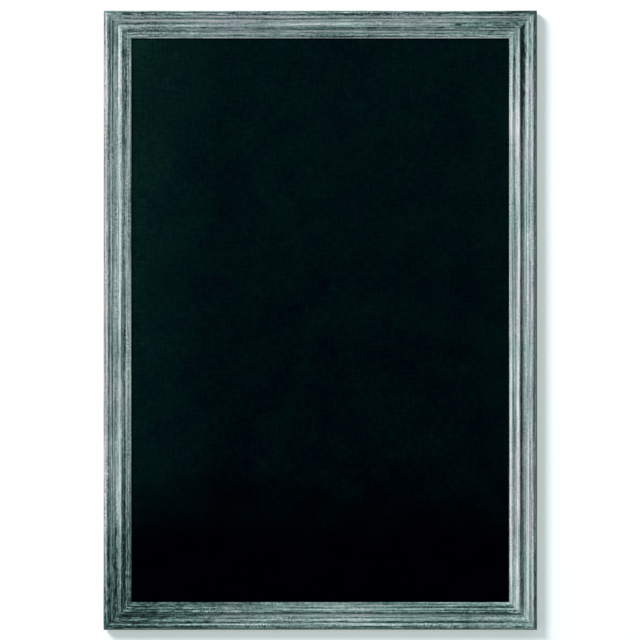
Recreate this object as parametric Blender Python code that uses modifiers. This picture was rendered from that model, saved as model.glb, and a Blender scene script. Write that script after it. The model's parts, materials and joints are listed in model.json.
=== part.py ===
"""Framed wall chalkboard: four mitred moulding rails, a coated panel, and the hardware on its back.

Metres, +Z up. The board faces -Y. The origin lies in the wall plane, behind the middle of the board.
"""

import math

import bmesh
import bpy
from mathutils import Matrix, Vector

# Frame, over its outer edges
FRAME_WIDTH = 0.700
FRAME_HEIGHT = 1.000

# Moulding face, member by member from the outer edge to the sight edge
OUTER_SIDE_HEIGHT = 0.0120
OVOLO_RUN = 0.0070
OVOLO_RISE = 0.0080
REED_SIDE_RUN = 0.0050
REED_SIDE_FALL = 0.0024
QUIRK_WIDTH = 0.0010
QUIRK_DEPTH = 0.0009
BEAD_RUN = 0.0012
BEAD_RISE = 0.0007
BEAD_NOSE_RUN = 0.0016
BEAD_NOSE_FALL = 0.0008
COVE_FALL_RUN = 0.0052
COVE_FALL = 0.0026
COVE_RISE_RUN = 0.0056
COVE_RISE = 0.0048
RIDGE_RUN = 0.0024
RIDGE_RISE = 0.0020
RIDGE_BACK_RUN = 0.0020
RIDGE_BACK_FALL = 0.0007
INNER_COVE_RUN = 0.0066
INNER_COVE_FALL = 0.0030
LIP_RUN = 0.0034
LIP_RISE = 0.0008
LIP_NOSE_RUN = 0.0040
LIP_NOSE_FALL = 0.0022
LIP_FACE = 0.0022
ARC_STEPS = 6

# Rebate and panel
REBATE_WIDTH = 0.0080
PANEL_THICKNESS = 0.0060
PANEL_ARRIS = 0.0004
PANEL_PLAY = 0.0015

# Clearances
SEAT_GAP = 0.0003
MITRE_GAP = 0.0003
CUT_OVERRUN = 0.0020

# V-nails across each mitre, placed by their distance from the outer edge
NAIL_OUTER_INSET = 0.0100
NAIL_INNER_INSET = 0.0240
NAIL_LEG = 0.0070
NAIL_HALF_ANGLE = math.radians(50)
NAIL_THICKNESS = 0.0005
NAIL_DEPTH = 0.0100
NAIL_SET = 0.0005

# Framer's points behind the panel
POINTS_PER_STILE = 4
POINTS_PER_RAIL = 3
POINT_END_MARGIN = 0.110
POINT_BITE = 0.0060
POINT_REACH = 0.0120
POINT_WIDTH = 0.0060
POINT_THICKNESS = 0.0005
POINT_TIP = 0.0035

# Strap hangers on the stiles and their D-rings
HANGER_DROP = 0.150
STRAP_WIDTH = 0.0100
STRAP_LENGTH = 0.0310
STRAP_THICKNESS = 0.0008
STRAP_CORNER = 0.0035
FOLD_GAP = 0.0003
FOLD_RADIUS = 0.0020
EYE_CLEARANCE = 0.00025
WIRE_RADIUS = 0.0010
RING_WIDTH = 0.0160
RING_REACH = 0.0160
RING_CORNER = 0.0025
EYE_STEPS = 18

# Screws through the straps
FIRST_HOLE = 0.0100
HOLE_PITCH = 0.0140
HEAD_RADIUS = 0.0030
HEAD_HEIGHT = 0.0019
SHANK_RADIUS = 0.0015
SHANK_LENGTH = 0.0120
SCREW_TIP = 0.0035

# Bumpers at the foot of the frame
BUMPER_RADIUS = 0.0060
BUMPER_HEIGHT = 0.0050
BUMPER_EDGE = 0.0010
BUMPER_TAPER = 0.0006
BUMPER_INSET = 0.0450

TURN_STEPS = 24
WELD = 0.00001


def gathering(degrees):
    """Unit curve that leaves level and steepens through an arc of this sweep."""
    sweep = math.radians(degrees)
    turns = [sweep * k / ARC_STEPS for k in range(1, ARC_STEPS + 1)]
    return [(math.sin(a) / math.sin(sweep), (1 - math.cos(a)) / (1 - math.cos(sweep))) for a in turns]


def settling(degrees):
    """Unit curve that starts steep and runs out level: gathering, read backwards."""
    back = [(0, 0)] + gathering(degrees)[:-1]
    return [(1 - x, 1 - y) for x, y in reversed(back)]


def easing():
    """Unit S-curve, level at both ends."""
    shares = [k / ARC_STEPS for k in range(1, ARC_STEPS + 1)]
    return [(t, (1 - math.cos(math.pi * t)) / 2) for t in shares]


STRAIGHT = [(1, 1)]

# Each member's run towards the sight edge, its rise towards the front, and its curve
MOULDING_FACE = [
    (OVOLO_RUN, OVOLO_RISE, settling(90)),
    (REED_SIDE_RUN, -REED_SIDE_FALL, easing()),
    (QUIRK_WIDTH / 2, -QUIRK_DEPTH, STRAIGHT),
    (QUIRK_WIDTH / 2, QUIRK_DEPTH, STRAIGHT),
    (BEAD_RUN, BEAD_RISE, settling(80)),
    (BEAD_NOSE_RUN, -BEAD_NOSE_FALL, gathering(30)),
    (COVE_FALL_RUN, -COVE_FALL, settling(30)),
    (COVE_RISE_RUN, COVE_RISE, gathering(60)),
    (RIDGE_RUN, RIDGE_RISE, settling(75)),
    (RIDGE_BACK_RUN, -RIDGE_BACK_FALL, gathering(45)),
    (INNER_COVE_RUN, -INNER_COVE_FALL, settling(30)),
    (LIP_RUN, LIP_RISE, easing()),
    (LIP_NOSE_RUN, -LIP_NOSE_FALL, gathering(80)),
]

# Sizes that follow from the ones above
RAIL_WIDTH = sum(run for run, _, _ in MOULDING_FACE)
BACK_WIDTH = RAIL_WIDTH - REBATE_WIDTH
REBATE_DEPTH = OUTER_SIDE_HEIGHT + sum(rise for _, rise, _ in MOULDING_FACE) - LIP_FACE
PANEL_BACK = REBATE_DEPTH - SEAT_GAP - PANEL_THICKNESS
FRAME_BACK_Y = -(SEAT_GAP + BUMPER_HEIGHT)
EYE_RADIUS = WIRE_RADIUS + EYE_CLEARANCE
STRAP_TOP = SEAT_GAP + 2 * STRAP_THICKNESS + FOLD_GAP
RING_AXIS = SEAT_GAP + STRAP_THICKNESS + EYE_RADIUS
RING_LEAN = math.asin((RING_AXIS - WIRE_RADIUS - SEAT_GAP) / RING_REACH)
HANGER_X = (FRAME_WIDTH - BACK_WIDTH) / 2
HANGER_Z = FRAME_HEIGHT / 2 - HANGER_DROP

RIGHT = Vector((1, 0, 0))
WALLWARD = Vector((0, 1, 0))
UP = Vector((0, 0, 1))

# Way each rail lies from the board's middle, the frame's size that way, the rail's length and its points
RAILS = {
    "top_rail": (UP, FRAME_HEIGHT, FRAME_WIDTH, POINTS_PER_RAIL),
    "bottom_rail": (-UP, FRAME_HEIGHT, FRAME_WIDTH, POINTS_PER_RAIL),
    "left_stile": (-RIGHT, FRAME_WIDTH, FRAME_HEIGHT, POINTS_PER_STILE),
    "right_stile": (RIGHT, FRAME_WIDTH, FRAME_HEIGHT, POINTS_PER_STILE),
}


def new_collection(name, parent):
    collection = bpy.data.collections.new(name)
    parent.children.link(collection)
    return collection


for stale in list(bpy.data.objects):
    bpy.data.objects.remove(stale)
PARTS = new_collection("wall_chalkboard", bpy.context.scene.collection)
CUTTERS = new_collection("cutters", bpy.context.scene.collection)


def linear(hex_colour):
    """Linear RGBA of an sRGB colour written as six hex digits."""
    shares = [int(hex_colour[i : i + 2], 16) / 255 for i in (0, 2, 4)]
    return [c / 12.92 if c <= 0.04045 else ((c + 0.055) / 1.055) ** 2.4 for c in shares] + [1]


def principled(name, hex_colour, roughness, metallic=0):
    material = bpy.data.materials.new(name)
    material.use_nodes = True
    shader = material.node_tree.nodes["Principled BSDF"]
    shader.inputs["Base Color"].default_value = linear(hex_colour)
    shader.inputs["Roughness"].default_value = roughness
    shader.inputs["Metallic"].default_value = metallic
    return material


WASHED_PAINT = principled("washed_paint_on_wood", "7d8e8c", 0.6)
BOARD_COATING = principled("blackboard_coating", "04110f", 0.8)
ZINC_STEEL = principled("zinc_plated_steel", "b4b7b6", 0.35, metallic=1)
BRIGHT_STEEL = principled("bright_screw_steel", "c4c3bd", 0.3, metallic=1)
NAIL_STEEL = principled("nail_strip_steel", "8f9290", 0.4, metallic=1)
POINT_STEEL = principled("blued_spring_steel", "55585c", 0.45, metallic=1)
RUBBER = principled("bumper_rubber", "2b2c2d", 0.85)


def add_part(name, data, material, matrix=Matrix(), smooth_below=40):
    """Link a named piece, placed by its matrix and shaded smooth across edges flatter than this angle."""
    part = bpy.data.objects.new(name, data)
    PARTS.objects.link(part)
    part.matrix_world = matrix
    part.data.materials.append(material)
    if part.type == "MESH":
        data.shade_smooth()
        data.set_sharp_from_angle(angle=math.radians(smooth_below))
    return part


def add_cutter(name, mesh, matrix, *collections):
    cutter = bpy.data.objects.new(name, mesh)
    for collection in collections:
        collection.objects.link(cutter)
    cutter.matrix_world = matrix
    cutter.hide_render = True
    cutter.display_type = "WIRE"
    return cutter


def cut(part, collection):
    boolean = part.modifiers.new("Cuts", "BOOLEAN")
    boolean.operation = "DIFFERENCE"
    boolean.solver = "EXACT"
    boolean.operand_type = "COLLECTION"
    boolean.collection = collection


def flatten_shading(part):
    """Let large flat faces set the normals, so that a cut leaves no shade across them."""
    normals = part.modifiers.new("Flat faces", "WEIGHTED_NORMAL")
    normals.keep_sharp = True
    normals.weight = 100


def frame_matrix(x_axis, y_axis, origin):
    """Placement whose local X and Y run along these axes, with Z square to both."""
    matrix = Matrix((x_axis, y_axis, x_axis.cross(y_axis))).transposed().to_4x4()
    matrix.translation = origin
    return matrix


def at_back(x, z, height=0.0):
    """World point behind the frame: this far out from the plane of the rails' backs."""
    return Vector((x, FRAME_BACK_Y + height, z))


def welded_mesh(name, curve):
    """Mesh of a curve, with its caps joined to its sides."""
    holder = bpy.data.objects.new(name, curve)
    PARTS.objects.link(holder)
    graph = bpy.context.evaluated_depsgraph_get()
    mesh = bpy.data.meshes.new_from_object(holder.evaluated_get(graph))
    bpy.data.objects.remove(holder)
    bpy.data.curves.remove(curve)
    work = bmesh.new()
    work.from_mesh(mesh)
    bmesh.ops.remove_doubles(work, verts=work.verts, dist=WELD)
    work.to_mesh(mesh)
    work.free()
    return mesh


def flat_curve(name, points, depth, closed):
    curve = bpy.data.curves.new(name, "CURVE")
    curve.dimensions = "2D"
    curve.fill_mode = "BOTH"
    curve.extrude = depth / 2
    spline = curve.splines.new("POLY")
    spline.points.add(len(points) - 1)
    for point, (x, y) in zip(spline.points, points):
        point.co = (x, y, 0, 1)
    spline.use_cyclic_u = closed
    return curve


def outline_mesh(name, points, thickness):
    """Solid plate of a closed outline, centred on its own plane."""
    return welded_mesh(name, flat_curve(name, points, thickness, closed=True))


def strip_mesh(name, path, width):
    """Open strip that follows a path, for Solidify to make a folded sheet of."""
    return welded_mesh(name, flat_curve(name, path, width, closed=False))


def thicken(part, thickness):
    sheet = part.modifiers.new("Sheet", "SOLIDIFY")
    sheet.thickness = thickness
    sheet.offset = 0
    sheet.use_even_offset = True


def box_mesh(name, low, high):
    mesh = bpy.data.meshes.new(name)
    work = bmesh.new()
    bmesh.ops.create_cube(work, size=1)
    sides = Vector(high) - Vector(low)
    middle = (Vector(high) + Vector(low)) / 2
    bmesh.ops.transform(work, matrix=Matrix.LocRotScale(middle, None, sides), verts=work.verts)
    work.to_mesh(mesh)
    work.free()
    return mesh


def rod_mesh(name, radius, low, high):
    """Capped cylinder along local Z."""
    mesh = bpy.data.meshes.new(name)
    work = bmesh.new()
    bmesh.ops.create_cone(
        work, cap_ends=True, segments=TURN_STEPS, radius1=radius, radius2=radius, depth=high - low
    )
    bmesh.ops.translate(work, vec=(0, 0, (low + high) / 2), verts=work.verts)
    work.to_mesh(mesh)
    work.free()
    return mesh


def add_turned(name, profile, material, matrix):
    """Piece turned about local Z from a profile that runs down its outer side, axis to axis."""
    mesh = bpy.data.meshes.new(name)
    work = bmesh.new()
    points = [work.verts.new((radius, 0, height)) for radius, height in profile]
    for upper, lower in zip(points, points[1:]):
        work.edges.new((upper, lower))
    work.to_mesh(mesh)
    work.free()
    part = add_part(name, mesh, material, matrix)
    lathe = part.modifiers.new("Lathe", "SCREW")
    lathe.steps = TURN_STEPS
    lathe.render_steps = TURN_STEPS
    lathe.use_merge_vertices = True
    lathe.merge_threshold = WELD
    lathe.use_smooth_shade = True
    return part


def arc_points(centre, radius, start, end, steps):
    """Points on a circle from one angle to another, both ends included."""
    turns = [start + (end - start) * k / steps for k in range(steps + 1)]
    return [(centre[0] + radius * math.cos(a), centre[1] + radius * math.sin(a)) for a in turns]


def moulding_section():
    """Closed section of the rail: X runs in from the outer edge, Y forwards from the back."""
    points = [(0, 0), (0, OUTER_SIDE_HEIGHT)]
    for run, rise, curve in MOULDING_FACE:
        x, y = points[-1]
        points += [(x + run * t, y + rise * s) for t, s in curve]
    return points + [(RAIL_WIDTH, REBATE_DEPTH), (BACK_WIDTH, REBATE_DEPTH), (BACK_WIDTH, 0)]


def rail_matrix(outward, span):
    """Rail frame: X inwards from the outer edge, Y to the front, origin at mid-length on the back."""
    return frame_matrix(-outward, -WALLWARD, at_back(0, 0) + outward * span / 2)


def add_rail(name, outward, span, length):
    """One length of moulding, its ends sheared to a mitre short of the corner by half the glue line."""
    mesh = outline_mesh(name, moulding_section(), length)
    half_length = length / 2 - MITRE_GAP / math.sqrt(2)
    for vertex in mesh.vertices:
        vertex.co.z = math.copysign(half_length - vertex.co.x, vertex.co.z)
    rail = add_part(name, mesh, WASHED_PAINT, rail_matrix(outward, span), smooth_below=35)
    rail_cuts = new_collection(name + "_cuts", CUTTERS)
    cut(rail, rail_cuts)
    return rail_cuts


def add_panel():
    """Coated board that fills the rebate, less the play that lets it move with the weather."""
    half_width = FRAME_WIDTH / 2 - BACK_WIDTH - PANEL_PLAY
    half_height = FRAME_HEIGHT / 2 - BACK_WIDTH - PANEL_PLAY
    back = at_back(half_width, half_height, -PANEL_BACK)
    front = at_back(-half_width, -half_height, -PANEL_BACK - PANEL_THICKNESS)
    panel = add_part("writing_panel", box_mesh("writing_panel", front, back), BOARD_COATING)
    arris = panel.modifiers.new("Arris", "BEVEL")
    arris.width = PANEL_ARRIS
    arris.segments = 1


def v_path(leg):
    """Path of a V that opens along local X."""
    along = leg * math.cos(NAIL_HALF_ANGLE)
    aside = leg * math.sin(NAIL_HALF_ANGLE)
    return [(along, aside), (0, 0), (along, -aside)]


def add_v_nail(name, corner, inset, rail_cuts):
    """Bent steel strip set into both rails across the mitre, and the kerf that takes it."""
    across, height = corner
    out = (RIGHT * across + UP * height).normalized()
    x = across * (FRAME_WIDTH / 2 - inset)
    z = height * (FRAME_HEIGHT / 2 - inset)
    middle = at_back(x, z, -NAIL_SET - NAIL_DEPTH / 2)
    aside = WALLWARD.cross(out)
    nail = add_part(
        name, strip_mesh(name, v_path(NAIL_LEG), NAIL_DEPTH), NAIL_STEEL, frame_matrix(out, aside, middle)
    )
    thicken(nail, NAIL_THICKNESS)
    kerf_depth = NAIL_DEPTH + NAIL_SET + SEAT_GAP + CUT_OVERRUN
    kerf_middle = at_back(x, z, CUT_OVERRUN - kerf_depth / 2)
    kerf = add_cutter(
        name + "_kerf",
        strip_mesh(name + "_kerf", v_path(NAIL_LEG + SEAT_GAP), kerf_depth),
        frame_matrix(out, aside, kerf_middle),
        *rail_cuts,
    )
    thicken(kerf, NAIL_THICKNESS + 2 * SEAT_GAP)


def add_points(rail, outward, span, length, count, rail_cuts):
    """Row of flat steel points, each bitten into the rebate wall and lying on the panel's back."""
    half_width = POINT_WIDTH / 2
    outline = [
        (-POINT_BITE, 0),
        (POINT_TIP - POINT_BITE, -half_width),
        (POINT_REACH, -half_width),
        (POINT_REACH, half_width),
        (POINT_TIP - POINT_BITE, half_width),
    ]
    slot = box_mesh(
        rail + "_slot",
        (-POINT_BITE - SEAT_GAP, -half_width - SEAT_GAP, -POINT_THICKNESS / 2 - SEAT_GAP),
        (CUT_OVERRUN, half_width + SEAT_GAP, POINT_THICKNESS / 2 + SEAT_GAP),
    )
    inward = -outward
    along = inward.cross(WALLWARD)
    height = PANEL_BACK - SEAT_GAP - POINT_THICKNESS / 2
    first = BACK_WIDTH + POINT_END_MARGIN - length / 2
    pitch = -2 * first / (count - 1)
    for k in range(count):
        seat = at_back(0, 0, -height) + outward * (span / 2 - BACK_WIDTH) + along * (first + k * pitch)
        placed = frame_matrix(inward, along, seat)
        name = f"{rail}_point_{k + 1}"
        add_part(name, outline_mesh(name, outline, POINT_THICKNESS), POINT_STEEL, placed)
        add_cutter(name + "_slot", slot, placed, rail_cuts)


def strap_path():
    """Mid-line of the strap from one leaf's end, round the ring's bar and back along the other leaf."""
    low_leaf = STRAP_THICKNESS / 2
    high_leaf = low_leaf + STRAP_THICKNESS + FOLD_GAP
    eye = (0, STRAP_THICKNESS + EYE_RADIUS)
    eye_mid = EYE_RADIUS + STRAP_THICKNESS / 2
    rise = high_leaf + FOLD_RADIUS - eye[1]
    meet = math.asin(rise / (eye_mid + FOLD_RADIUS))
    fold = ((eye_mid + FOLD_RADIUS) * math.cos(meet), high_leaf + FOLD_RADIUS)
    roll = arc_points(eye, eye_mid, -math.pi / 2, meet - 2 * math.pi, EYE_STEPS)
    neck = arc_points(fold, FOLD_RADIUS, meet + math.pi, 1.5 * math.pi, ARC_STEPS)
    return [(STRAP_LENGTH, low_leaf)] + roll + neck[1:] + [(STRAP_LENGTH, high_leaf)]


def add_strap(name, x):
    """Steel strip folded round the ring, its leaf ends rounded off. Returns its cutters' collection."""
    mesh = strip_mesh(name, strap_path(), STRAP_WIDTH)
    work = bmesh.new()
    work.from_mesh(mesh)
    ends = [v for v in work.verts if v.co.x > STRAP_LENGTH - WELD]
    bmesh.ops.bevel(
        work, geom=ends, affect="VERTICES", offset=STRAP_CORNER, segments=ARC_STEPS, profile=0.5
    )
    work.to_mesh(mesh)
    work.free()
    strap = add_part(name, mesh, ZINC_STEEL, frame_matrix(-UP, WALLWARD, at_back(x, HANGER_Z, SEAT_GAP)))
    thicken(strap, STRAP_THICKNESS)
    holes = new_collection(name + "_cuts", CUTTERS)
    cut(strap, holes)
    return holes


def add_d_ring(name, x):
    """Wire D whose straight bar lies in the strap's eye; it leans until its bow rests on the stile."""
    half = RING_WIDTH / 2
    corner = half - RING_CORNER
    bow_centre = RING_REACH - half
    right_corner = arc_points((corner, RING_CORNER), RING_CORNER, -math.pi / 2, 0, ARC_STEPS)
    bow = arc_points((0, bow_centre), half, 0, math.pi, 3 * ARC_STEPS)
    left_corner = arc_points((-corner, RING_CORNER), RING_CORNER, math.pi, 1.5 * math.pi, ARC_STEPS)
    path = right_corner + bow + left_corner
    wire = bpy.data.curves.new(name, "CURVE")
    wire.dimensions = "3D"
    wire.bevel_depth = WIRE_RADIUS
    wire.bevel_resolution = 4
    spline = wire.splines.new("POLY")
    spline.points.add(len(path) - 1)
    for point, (along, out) in zip(spline.points, path):
        point.co = (along, 0, out, 1)
    spline.use_cyclic_u = True
    spline.use_smooth = True
    lean = Matrix.Rotation(RING_LEAN, 4, "X")
    add_part(name, wire, ZINC_STEEL, Matrix.Translation(at_back(x, HANGER_Z, RING_AXIS)) @ lean)


def add_screw(name, x, z, strap_cuts, stile_cuts):
    """Round-head wood screw through both leaves of the strap, and the hole it is driven into."""
    dome = arc_points((0, 0), 1, math.pi / 2, 0, ARC_STEPS)
    head = [(HEAD_RADIUS * r, HEAD_HEIGHT * h) for r, h in dome]
    shank = [(SHANK_RADIUS, 0), (SHANK_RADIUS, SCREW_TIP - SHANK_LENGTH), (0, -SHANK_LENGTH)]
    seat = Matrix.Translation(at_back(x, z, STRAP_TOP + SEAT_GAP)) @ Matrix.Rotation(-math.pi / 2, 4, "X")
    add_turned(name, [(0, HEAD_HEIGHT)] + head[1:] + shank, BRIGHT_STEEL, seat)
    hole = rod_mesh(name + "_hole", SHANK_RADIUS + SEAT_GAP, -SHANK_LENGTH - SEAT_GAP, CUT_OVERRUN)
    add_cutter(name + "_hole", hole, seat, strap_cuts, stile_cuts)


def add_hanger(side, x, stile_cuts):
    strap_cuts = add_strap(side + "_strap", x)
    add_d_ring(side + "_d_ring", x)
    for place, distance in (("upper", FIRST_HOLE), ("lower", FIRST_HOLE + HOLE_PITCH)):
        add_screw(f"{side}_{place}_screw", x, HANGER_Z - distance, strap_cuts, stile_cuts)


def add_bumper(name, x):
    """Round rubber pad on the bottom rail's back; its flat end meets the wall."""
    rim = BUMPER_RADIUS - BUMPER_TAPER
    shoulder = arc_points(
        (rim - BUMPER_EDGE, BUMPER_HEIGHT - BUMPER_EDGE), BUMPER_EDGE, math.pi / 2, 0, ARC_STEPS
    )
    profile = [(0, BUMPER_HEIGHT)] + shoulder + [(BUMPER_RADIUS, 0), (0, 0)]
    seat = at_back(x, (BACK_WIDTH - FRAME_HEIGHT) / 2, SEAT_GAP)
    add_turned(name, profile, RUBBER, Matrix.Translation(seat) @ Matrix.Rotation(-math.pi / 2, 4, "X"))


def build():
    cuts = {}
    for name, (outward, span, length, count) in RAILS.items():
        cuts[name] = add_rail(name, outward, span, length)
        add_points(name, outward, span, length, count, cuts[name])
    add_panel()
    for rail, height in (("top", 1), ("bottom", -1)):
        for side, across in (("left", -1), ("right", 1)):
            corner_cuts = (cuts[rail + "_rail"], cuts[side + "_stile"])
            for place, inset in (("outer", NAIL_OUTER_INSET), ("inner", NAIL_INNER_INSET)):
                name = f"{rail}_{side}_{place}_v_nail"
                add_v_nail(name, (across, height), inset, corner_cuts)
    for side, across in (("left", -1), ("right", 1)):
        add_hanger(side, across * HANGER_X, cuts[side + "_stile"])
        add_bumper(side + "_bumper", across * (FRAME_WIDTH / 2 - BUMPER_INSET))
    for part in PARTS.objects:
        if part.type == "MESH" and part.modifiers:
            flatten_shading(part)


build()
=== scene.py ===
# %% [markdown]
# # Framed wall chalkboard
# The board is four mitred lengths of wood moulding round a coated panel, with two strap hangers behind
# it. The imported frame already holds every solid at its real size. This lesson gives the pieces their
# surfaces: the rubbed, streaky wash on the moulding, the blackboard coating, bare wood behind, and plated
# hardware.

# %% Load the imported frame
import json
import math

import bmesh
import bpy
import numpy as np
from mathutils import Matrix, Vector

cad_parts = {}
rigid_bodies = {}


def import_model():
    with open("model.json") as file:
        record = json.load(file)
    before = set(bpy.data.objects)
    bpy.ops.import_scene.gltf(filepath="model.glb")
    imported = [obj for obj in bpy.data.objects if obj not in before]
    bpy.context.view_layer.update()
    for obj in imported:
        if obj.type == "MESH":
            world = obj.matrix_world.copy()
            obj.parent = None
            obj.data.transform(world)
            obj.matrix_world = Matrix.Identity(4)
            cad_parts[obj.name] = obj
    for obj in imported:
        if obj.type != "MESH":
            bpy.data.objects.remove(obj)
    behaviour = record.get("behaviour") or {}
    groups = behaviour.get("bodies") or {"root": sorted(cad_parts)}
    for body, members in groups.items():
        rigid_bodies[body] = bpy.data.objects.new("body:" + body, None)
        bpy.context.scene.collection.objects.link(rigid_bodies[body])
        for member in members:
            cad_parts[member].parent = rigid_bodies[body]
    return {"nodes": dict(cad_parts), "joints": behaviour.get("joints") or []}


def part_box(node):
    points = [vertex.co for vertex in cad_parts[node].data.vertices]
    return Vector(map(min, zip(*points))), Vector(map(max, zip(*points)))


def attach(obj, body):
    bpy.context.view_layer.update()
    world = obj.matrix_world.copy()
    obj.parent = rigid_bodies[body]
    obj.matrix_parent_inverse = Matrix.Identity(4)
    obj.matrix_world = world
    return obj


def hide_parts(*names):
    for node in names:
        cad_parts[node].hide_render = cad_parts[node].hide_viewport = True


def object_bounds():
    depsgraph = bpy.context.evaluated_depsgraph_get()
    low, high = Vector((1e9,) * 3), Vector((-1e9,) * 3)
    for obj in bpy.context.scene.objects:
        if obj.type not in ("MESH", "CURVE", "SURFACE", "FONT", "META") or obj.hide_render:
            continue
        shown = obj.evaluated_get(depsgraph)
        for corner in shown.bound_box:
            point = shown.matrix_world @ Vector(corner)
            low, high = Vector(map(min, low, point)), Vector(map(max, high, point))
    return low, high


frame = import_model()
cad_box = [list(corner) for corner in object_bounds()]
board_low, board_high = (Vector(corner) for corner in cad_box)
MM = 0.001
scene = bpy.context.scene
scene.view_settings.view_transform = "Standard"
print("packed nodes:", len(frame["nodes"]), "box:", cad_box)

# %% [markdown]
# ## Camera
# The board is seen straight on, with its sides parallel to the picture's edges, so the lens is long and
# the camera stands square to it. The distance follows from the real size of one pixel on the plane of the
# frame's outer edge, which is the outline that the picture shows. The board hangs about a quarter of a
# pixel right of the picture's middle and below it, so the camera stands that much to the left and higher.

# %% Camera
LENS = 200
SENSOR = 36
PICTURE_PIXELS = 640
PIXEL_ON_BOARD = 1.6148 * MM
BOARD_ASIDE = 0.28 * PIXEL_ON_BOARD
BOARD_LOWER = 0.25 * PIXEL_ON_BOARD

stile_points = [v.co for v in frame["nodes"]["left_stile"].data.vertices]
outer_arris_y = min(p.y for p in stile_points if p.x < board_low.x + 0.1 * MM)
camera_distance = PICTURE_PIXELS * PIXEL_ON_BOARD * LENS / SENSOR
camera_data = bpy.data.cameras.new("picture_camera")
camera_data.lens = LENS
camera_data.sensor_width = SENSOR
camera_data.clip_end = 100
camera = bpy.data.objects.new("picture_camera", camera_data)
camera.location = (-BOARD_ASIDE, outer_arris_y - camera_distance, BOARD_LOWER)
camera.rotation_euler = (math.pi / 2, 0, 0)
scene.collection.objects.link(camera)
scene.camera = camera
print("camera stands", round(camera_distance, 3), "m from the frame's edge")

# %% [markdown]
# ## Helpers for pieces
# Each new piece is a mesh in the board's own frame, so its object stays at the origin. It rides on a
# body, takes the finishes it is given, and stands for the imported nodes that it replaces. A packed
# node is made of loose triangles, so a copy is welded before it is worked on.

# %% Helpers for pieces
WELD = 0.001 * MM


def merged_copy(node):
    """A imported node's shape as a bmesh with its loose triangles welded."""
    shape = bmesh.new()
    shape.from_mesh(frame["nodes"][node].data)
    bmesh.ops.remove_doubles(shape, verts=shape.verts, dist=WELD)
    return shape


def whole(shape):
    """Everything in a bmesh, as the operators want it."""
    return shape.verts[:] + shape.edges[:] + shape.faces[:]


def to_mesh(shape, name):
    """The bmesh as a mesh, with its faces outwards."""
    bmesh.ops.recalc_face_normals(shape, faces=shape.faces)
    mesh = bpy.data.meshes.new(name)
    shape.to_mesh(mesh)
    shape.free()
    return mesh


def add_piece(name, mesh, finishes, body, slot, *nodes, sharp=35):
    """Shade a mesh smooth but for its sharp edges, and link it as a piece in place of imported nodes."""
    mesh.shade_smooth()
    mesh.set_sharp_from_angle(angle=math.radians(sharp))
    for finish in finishes:
        mesh.materials.append(finish)
    piece = bpy.data.objects.new(name, mesh)
    scene.collection.objects.link(piece)
    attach(piece, body)
    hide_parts(*nodes)
    print(name, "has", len(mesh.polygons), "faces")


print("points are welded within", WELD / MM, "mm")

# %% [markdown]
# ## Helpers for finishes
# A finish is a node tree on one Principled shader. One function adds any node with its settings and
# links, and one turns the hex colours that paint charts use into the linear values that the shader takes.
# Inputs are named or numbered: a colour mix has its colours at 6 and 7 and its result at output 2, and a
# map range has the range it reads at 1 and 2 and the range it gives at 3 and 4.

# %% Helpers for finishes


def linear(hex_colour):
    """An sRGB hex colour as linear RGBA."""
    shares = [int(hex_colour[i:i + 2], 16) / 255 for i in (1, 3, 5)]
    return (*[s / 12.92 if s <= 0.04045 else ((s + 0.055) / 1.055) ** 2.4 for s in shares], 1)


def plug(tree, node, inputs):
    """Set a node's inputs to values, or link them to sockets or to the first outputs of nodes."""
    for key, value in inputs.items():
        if isinstance(value, bpy.types.Node):
            value = value.outputs[0]
        if isinstance(value, bpy.types.NodeSocket):
            tree.links.new(value, node.inputs[key])
        else:
            node.inputs[key].default_value = value


def add_node(tree, kind, inputs=None, stops=(), **settings):
    """Add a shader node of this kind with its settings and inputs; stops fill a colour ramp."""
    node = tree.nodes.new("ShaderNode" + kind)
    for name, value in settings.items():
        setattr(node, name, value)
    plug(tree, node, inputs or {})
    for k, (place, colour) in enumerate(stops):
        ramp = node.color_ramp.elements
        stop = ramp[k] if k < 2 else ramp.new(place)
        stop.position = place
        stop.color = linear(colour)
    return node


def new_finish(name, constants):
    """A material with its tree and its shader, on which the constants are set."""
    material = bpy.data.materials.new(name)
    material.use_nodes = True
    shader = material.node_tree.nodes["Principled BSDF"]
    plug(material.node_tree, shader, constants)
    return material, material.node_tree, shader


print("mid grey in linear light:", round(linear("#808080")[0], 3))

# %% [markdown]
# ## The moulding's section
# A moulding is one section run through a cutter for its whole length. The section could be drawn again
# here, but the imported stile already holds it, so a plane cuts it out of a welded copy, clear of the
# framer's points. The long flats are divided a little finer, and the loop is read in order from the outer
# arris across the face.

# %% Space of each rail
RAILS = ("top_rail", "bottom_rail", "left_stile", "right_stile")
TO_ROOM = Vector((0, -1, 0))


def rail_space(node):
    """A rail's matrix and length: X in from its outer edge, Y to the room, Z along, Y = 0 on its back."""
    low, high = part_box(node)
    upright = (high - low).z > (high - low).x
    reach = board_high.z if upright else board_high.x
    middle = (low + high) / 2
    inward = Vector((-middle.x, 0, 0)) if upright else Vector((0, 0, -middle.z))
    inward.normalize()
    edge = board_high.x if upright else board_high.z
    space = Matrix((inward, TO_ROOM, inward.cross(TO_ROOM))).transposed().to_4x4()
    space.translation = Vector((0, high.y, 0)) - inward * edge
    return space, 2 * reach


print("rail lengths:", [rail_space(node)[1] for node in RAILS])

# %% Section read from the left stile
SECTION_HEIGHT = 50 * MM
FLAT_STEP = 2.5 * MM

section = merged_copy("left_stile")
bmesh.ops.bisect_plane(
    section, geom=whole(section), dist=WELD, plane_co=(0, 0, SECTION_HEIGHT), plane_no=(0, 0, 1),
    clear_inner=True, clear_outer=True,
)
bmesh.ops.dissolve_limit(section, angle_limit=math.radians(1), verts=section.verts, edges=section.edges)
bmesh.ops.transform(section, matrix=rail_space("left_stile")[0].inverted(), verts=section.verts)
for flat in [edge for edge in section.edges if edge.calc_length() > FLAT_STEP]:
    bmesh.ops.subdivide_edges(section, edges=[flat], cuts=int(flat.calc_length() / FLAT_STEP))


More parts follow.
